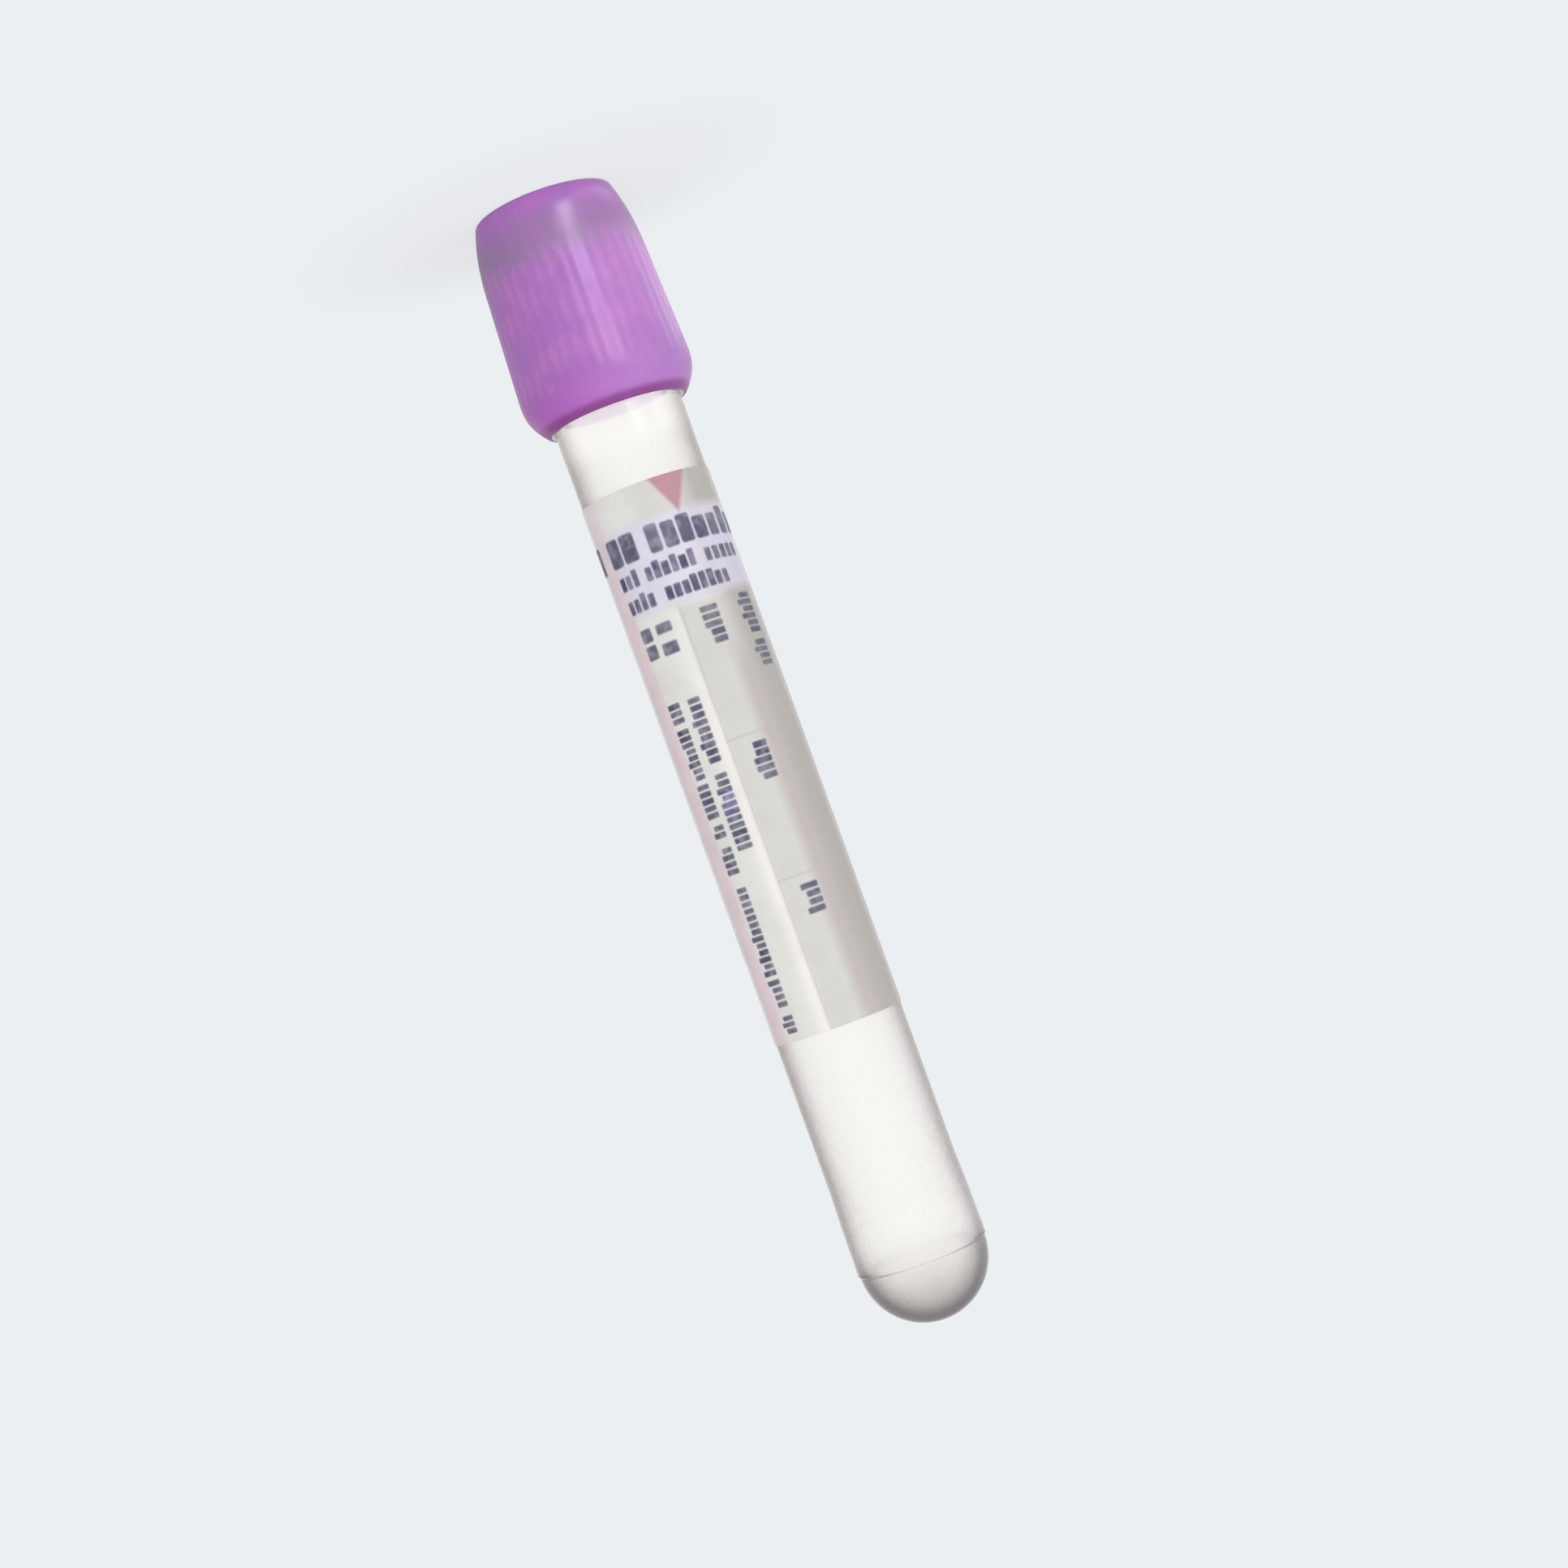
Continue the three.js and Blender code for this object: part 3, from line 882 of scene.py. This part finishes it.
class TUBEKIT_OT_shield(bpy.types.Operator):
    """Models the fluted plastic shield with its needle well, web and skirt"""

    bl_idname = "tubekit.shield"
    bl_label = "Shield"
    bl_options = {"REGISTER", "UNDO"}

    def execute(self, context):
        settings = context.scene.tube_kit.shield
        rim = shield_radius(0)
        fade = spread(0, FLUTE_RUN_OUT, RUN_OUT_ROWS)
        fade_out_z = FLUTES_TO_Z - FLUTE_RUN_OUT
        fluted = [FLUTES_FROM_Z + step for step in fade]
        fluted += spread(fluted[-1], fade_out_z, FLUTE_ROWS)
        fluted = [z for z in fluted if z < BULGE_Z - SAME_PLACE] + [BULGE_Z]
        fluted += [fade_out_z + step for step in fade if fade_out_z + step > BULGE_Z]
        heights = [RIM_ROUND, *spread(RIM_ROUND, FLUTES_FROM_Z, SHOULDER_ROWS), *fluted]
        heights += spread(FLUTES_TO_Z, LIP_Z, LIP_ROWS)
        outside = [(rim - RIM_ROUND, 0), (rim, 0)]
        outside += [(shield_radius(z), z) for z in heights]
        inside = [
            (LIP_RADIUS, LIP_Z),
            (LIP_RADIUS, LIP_LAND_Z),
            (SKIRT_RADIUS, SKIRT_END_Z),
            (SKIRT_RADIUS, SKIRT_Z),
            (SOCKET_RADIUS, SOCKET_END_Z),
            (SOCKET_RADIUS, WEB_TOP_Z),
            (NECK_RADIUS + FIT, WEB_TOP_Z),
            (NECK_RADIUS + FIT, WEB_Z),
            (WELL_RADIUS, WEB_Z),
            (WELL_RADIUS, 0),
        ]
        outline = outside + inside
        columns = settings.flutes * COLUMNS_PER_FLUTE
        piece = start_ring("closure_shield", columns, *outline[0])
        pull_rings(outline)
        bridge_open_ends()
        self.press_flutes(piece, fluted, columns, settings.flute_depth)
        round_rings(piece, [(rim, 0), (WELL_RADIUS, 0)], RIM_ROUND, segments=5)
        round_rings(piece, [outside[-1], inside[0]], LIP_ROUND)
        round_rings(piece, inside[6:9], WEB_ROUND)
        finish_piece(
            piece,
            sharp_angle=40,
            body="closure",
            node="shield",
            material=shield_finish(settings),
        )
        return {"FINISHED"}

    def press_flutes(self, piece, heights, columns, flute_depth):
        """Draws each column of the fluted band in, by its place between two crests."""
        bpy.ops.mesh.select_mode(type="VERT")
        step = 2 * math.pi / columns
        mesh = bmesh.from_edit_mesh(piece.data)
        skin = {}
        for vertex in mesh.verts:
            x, y, z = vertex.co
            height = min(heights, key=lambda level: abs(level * MM - z))
            on_skin = (shield_radius(height) * MM, height * MM)
            if math.dist((math.hypot(x, y), z), on_skin) < SAME_RING:
                column = round(math.atan2(x, -y) / step) % COLUMNS_PER_FLUTE
                fold = min(column, COLUMNS_PER_FLUTE - column)
                skin.setdefault((height, fold), []).append(vertex)
        for height in heights:
            run_in = (height - FLUTES_FROM_Z) / FLUTE_RUN_OUT
            run_out = (FLUTES_TO_Z - height) / FLUTE_RUN_OUT
            strength = max(0, min(1, run_in, run_out))
            strength = strength * strength * (3 - 2 * strength)
            for fold in range(1, COLUMNS_PER_FLUTE // 2 + 1):
                fall = 0.5 - 0.5 * math.cos(2 * math.pi * fold / COLUMNS_PER_FLUTE)
                pull = flute_depth * strength * fall
                if pull == 0:
                    continue
                scale = 1 - pull / (shield_radius(height) * MM)
                bpy.ops.mesh.select_all(action="DESELECT")
                for vertex in skin[height, fold]:
                    vertex.select_set(True)
                bpy.ops.transform.resize(
                    value=(scale, scale, 1), center_override=(0, 0, height * MM)
                )
        bpy.ops.mesh.select_mode(type="EDGE")


class TUBEKIT_OT_stopper(bpy.types.Operator):
    """Models the rubber stopper with its boss, flange, grooved plug and needle target"""

    bl_idname = "tubekit.stopper"
    bl_label = "Stopper"
    bl_options = {"REGISTER", "UNDO"}

    def execute(self, context):
        settings = context.scene.tube_kit.stopper
        plug = tube_radius(PLUG_END_Z) - TUBE_WALL - PLUG_FIT
        hollow = plug - settings.wall / MM
        target_z = BOSS_Z + TARGET_DEPTH
        hollow_z = target_z + settings.diaphragm / MM
        pole = (LAST_RING_RADIUS, target_z)
        outline = [pole]
        outline += curve(pole, (TARGET_RADIUS, target_z), (TARGET_RADIUS, BOSS_Z), CURVE_ROWS)
        corners = [
            (BOSS_RADIUS, BOSS_Z),
            (BOSS_RADIUS, BOSS_Z + BOSS_HEIGHT),
            (NECK_RADIUS, BOSS_Z + BOSS_HEIGHT),
            (NECK_RADIUS, FLANGE_Z),
            (FLANGE_RADIUS, FLANGE_Z),
            (FLANGE_RADIUS, FLANGE_TOP_Z),
            (plug, FLANGE_TOP_Z),
        ]
        outline += corners
        depth = settings.groove_depth / MM
        half = settings.groove_width / MM / 2
        grooves = []
        for z in spread(MOUTH_Z, PLUG_END_Z - PLUG_TAPER, 3)[:2]:
            grooves += [(plug, z - half), (plug - depth, z), (plug, z + half)]
        outline += grooves
        end = [
            (plug, PLUG_END_Z - PLUG_TAPER),
            (plug - PLUG_TAPER, PLUG_END_Z),
            (hollow, PLUG_END_Z),
        ]
        outline += end
        foot = (hollow - HOLLOW_INSET, hollow_z + HOLLOW_CURVE)
        outline.append(foot)
        outline += curve(foot, (foot[0], hollow_z), (LAST_RING_RADIUS, hollow_z), CURVE_ROWS)
        piece = start_ring("closure_stopper", STOPPER_SEGMENTS, *outline[0])
        pull_rings(outline)
        close_pole(0)
        select_edges(piece, lambda edge: is_ring_at(edge, [pole]))
        close_pole(0)
        round_rings(piece, [corners[0]], BOSS_ROUND, segments=4)
        round_rings(piece, corners[1:3] + corners[4:6], EDGE_ROUND)
        round_rings(piece, [(TARGET_RADIUS, BOSS_Z)], TARGET_ROUND)
        round_rings(piece, grooves + end, EDGE_ROUND)
        finish_piece(
            piece,
            sharp_angle=40,
            body="closure",
            node="stopper",
            material=rubber_finish(settings),
        )
        return {"FINISHED"}


class TUBEKIT_OT_tube(bpy.types.Operator):
    """Models the clear tube with its bore, rounded mouth, parting ring and domed end"""

    bl_idname = "tubekit.tube"
    bl_label = "Tube"
    bl_options = {"REGISTER", "UNDO"}

    def execute(self, context):
        settings = context.scene.tube_kit.tube
        wall = settings.wall / MM
        bore_end = END_RADIUS - wall
        bore_mouth = MOUTH_RADIUS - wall
        flare_z = PARTING_Z - PARTING_FLARE
        parting = tube_radius(PARTING_Z) + PARTING_STEP
        bore_dome_z = TUBE_END_Z - END_WALL - bore_end
        outline = arc(bore_end, bore_dome_z, LAST_RING_ANGLE, 0, BORE_DOME_ROWS)
        mouth = [(bore_mouth, MOUTH_Z), (MOUTH_RADIUS, MOUTH_Z)]
        outline += mouth
        swell = (tube_radius(flare_z), flare_z)
        middle = (parting, (flare_z + PARTING_Z) / 2)
        step = [(parting, PARTING_Z), (END_RADIUS, PARTING_Z + PARTING_STEP)]
        outline += [swell, *curve(swell, middle, step[0], FLARE_ROWS), step[1]]
        outline += arc(END_RADIUS, DOME_Z, 0, LAST_RING_ANGLE, DOME_ROWS)
        piece = start_ring("sample_tube", TUBE_SEGMENTS, *outline[0])
        pull_rings(outline)
        close_pole(END_RADIUS * POLE_RISE)
        select_edges(piece, lambda edge: is_ring_at(edge, outline[:1]))
        close_pole(bore_end * POLE_RISE)
        round_rings(piece, mouth, MOUTH_ROUND, segments=5)
        round_rings(piece, step, PARTING_ROUND)
        finish_piece(
            piece,
            sharp_angle=60,
            body="vial",
            node="tube",
            material=tube_finish(settings),
        )
        return {"FINISHED"}


class TUBEKIT_OT_label(bpy.types.Operator):
    """Models the film label wrapped round the tube, open in a strip at the back"""

    bl_idname = "tubekit.label"
    bl_label = "Label"
    bl_options = {"REGISTER", "UNDO"}

    def execute(self, context):
        settings = context.scene.tube_kit.label
        heights = [LABEL_Z, *spread(LABEL_Z, LABEL_END_Z, LABEL_ROWS)]
        outline = [(tube_radius(z) + LABEL_GLUE, z) for z in heights]
        piece = start_ring("tube_label", LABEL_COLUMNS, *outline[0])
        gap = math.radians(LABEL_GAP / 2) - SAME_PLACE
        bpy.ops.mesh.select_mode(type="VERT")
        bpy.ops.mesh.select_all(action="DESELECT")
        mesh = bmesh.from_edit_mesh(piece.data)
        for vertex in mesh.verts:
            vertex.select_set(abs(math.atan2(vertex.co.x, vertex.co.y)) < gap)
        bpy.ops.mesh.delete(type="VERT")
        bpy.ops.mesh.select_all(action="SELECT")
        pull_rings(outline)
        bpy.ops.mesh.select_all(action="SELECT")
        bpy.ops.mesh.normals_make_consistent(inside=False)
        bpy.ops.object.mode_set(mode="OBJECT")
        film = piece.modifiers.new("film", "SOLIDIFY")
        film.thickness = settings.thickness
        film.offset = 1
        bpy.ops.object.modifier_apply(modifier=film.name)
        bpy.ops.object.mode_set(mode="EDIT")
        finish_piece(
            piece,
            sharp_angle=30,
            body="vial",
            node="label",
            material=label_finish(settings),
        )
        return {"FINISHED"}


class TUBEKIT_OT_stage(bpy.types.Operator):
    """Sets the floor, the pale surroundings, the lamps and the camera"""

    bl_idname = "tubekit.stage"
    bl_label = "Stage"
    bl_options = {"REGISTER", "UNDO"}

    def execute(self, context):
        settings = context.scene.tube_kit.stage
        bpy.ops.object.select_all(action="DESELECT")
        bpy.ops.mesh.primitive_plane_add(size=FLOOR_SIZE, location=(0, 0, 0))
        floor = context.object
        floor.name = "floor"
        floor.data.materials.append(floor_finish(settings))
        self.light_surroundings(context, settings)
        self.add_lamp("key_lamp", settings.key_power, LAMP_SIZE, place=(-0.6, -0.75, 0.8))
        self.add_lamp("fill_lamp", settings.fill_power, LAMP_SIZE, place=(0.3, -0.85, 0.8))
        self.add_card("near_card", settings.near_power, (0.0025, 0.018), bearing=20, away=0.018)
        self.add_card("far_card", settings.far_power, (0.007, 0.04), bearing=23, away=0.047)
        self.add_card("side_card", settings.side_power, (0.12, 0.04), bearing=78, away=0.037)
        self.add_card("foot_card", settings.foot_power, (0.01, 0.0015), bearing=50, away=0.008)
        bpy.ops.object.camera_add(location=CAMERA_PLACE)
        camera = context.object
        camera.name = "camera"
        camera.rotation_mode = "QUATERNION"
        aim = Euler((math.pi / 2 - settings.tilt, 0, 0)).to_quaternion()
        camera.rotation_quaternion = aim @ Quaternion((0, 0, 1), settings.roll)
        camera.data.lens = settings.lens
        camera.data.clip_start = 0.01
        context.scene.camera = camera
        context.scene.view_settings.view_transform = "Standard"
        return {"FINISHED"}

    def light_surroundings(self, context, settings):
        """Wires the world: its light, what gloss mirrors, and what is seen behind and through."""
        world = context.scene.world or bpy.data.worlds.new("surroundings")
        context.scene.world = world
        f = Finish(world)
        camera, glossy, transmission = f.rays()
        direction = f.signal("ShaderNodeTexCoord", "Generated")
        axes = f.node("ShaderNodeSeparateXYZ", None, {0: direction})
        height = Signal(f, axes.outputs[2])
        dimmed = settings.overhead
        light = overhead(f, height, (settings.ambient,) * 3, dimmed)
        mirrored = overhead(f, height, settings.reflected, dimmed)
        left = f.ramp(Signal(f, axes.outputs[0]), *LEFTWARDS)
        light = f.mix(left * settings.left_shade * MATT_SHADE, light, BLACK)
        mirrored = f.mix(left * settings.left_shade, mirrored, BLACK)
        light = f.mix(glossy, light, mirrored)
        light = f.mix(transmission, light, settings.seen_through)
        light = f.mix(camera, light, settings.backdrop)
        glow = f.signal("ShaderNodeBackground", 0, None, {"Color": light})
        output = f.node("ShaderNodeOutputWorld")
        f.tree.links.new(glow.socket, output.inputs["Surface"])

    def add_lamp(self, name, power, size, place):
        """Adds a soft lamp that lights the object but is never seen itself."""
        bpy.ops.object.light_add(type="AREA", location=place)
        lamp = bpy.context.object
        lamp.name = name
        lamp.data.energy = power
        lamp.data.shape = "RECTANGLE"
        lamp.data.size, lamp.data.size_y = size
        middle = (CAD_LOW + CAD_HIGH) / 2
        lamp.rotation_euler = (middle - Vector(place)).to_track_quat("-Z", "Y").to_euler()
        lamp.visible_camera = lamp.visible_transmission = lamp.visible_glossy = False
        return lamp

    def add_card(self, name, power, size, bearing, away):
        """Adds a low lamp that lies on the floor beside the closure and shines up."""
        side = math.radians(bearing)
        card = self.add_lamp(
            name, power, size, (-away * math.sin(side), -away * math.cos(side), CARD_HEIGHT)
        )
        card.rotation_euler = (math.pi, 0, -side)
        card.visible_glossy, card.visible_diffuse = True, False


class TUBEKIT_PT_panel(bpy.types.Panel):
    """Lists the pieces, their settings and the stage"""

    bl_idname = "TUBEKIT_PT_panel"
    bl_label = "Collection Tube"
    bl_space_type = "VIEW_3D"
    bl_region_type = "UI"
    bl_category = "Collection Tube"

    def draw(self, context):
        kit = context.scene.tube_kit
        for name in ("shield", "stopper", "tube", "label", "stage"):
            settings = getattr(kit, name)
            box = self.layout.box()
            for prop in settings.__annotations__:
                box.prop(settings, prop)
            box.operator(f"tubekit.{name}")


CLASSES = (
    ShieldSettings,
    StopperSettings,
    TubeSettings,
    LabelSettings,
    StageSettings,
    TubeKitSettings,
    TUBEKIT_OT_shield,
    TUBEKIT_OT_stopper,
    TUBEKIT_OT_tube,
    TUBEKIT_OT_label,
    TUBEKIT_OT_stage,
    TUBEKIT_PT_panel,
)


def register():
    for cls in CLASSES:
        bpy.utils.register_class(cls)
    bpy.types.Scene.tube_kit = PointerProperty(type=TubeKitSettings)


def unregister():
    del bpy.types.Scene.tube_kit
    for cls in reversed(CLASSES):
        bpy.utils.unregister_class(cls)


def main():
    register()
    bpy.ops.tubekit.shield()
    bpy.ops.tubekit.stopper()
    bpy.ops.tubekit.tube()
    bpy.ops.tubekit.label()
    bpy.ops.tubekit.stage()


if __name__ == "__main__":
    main()
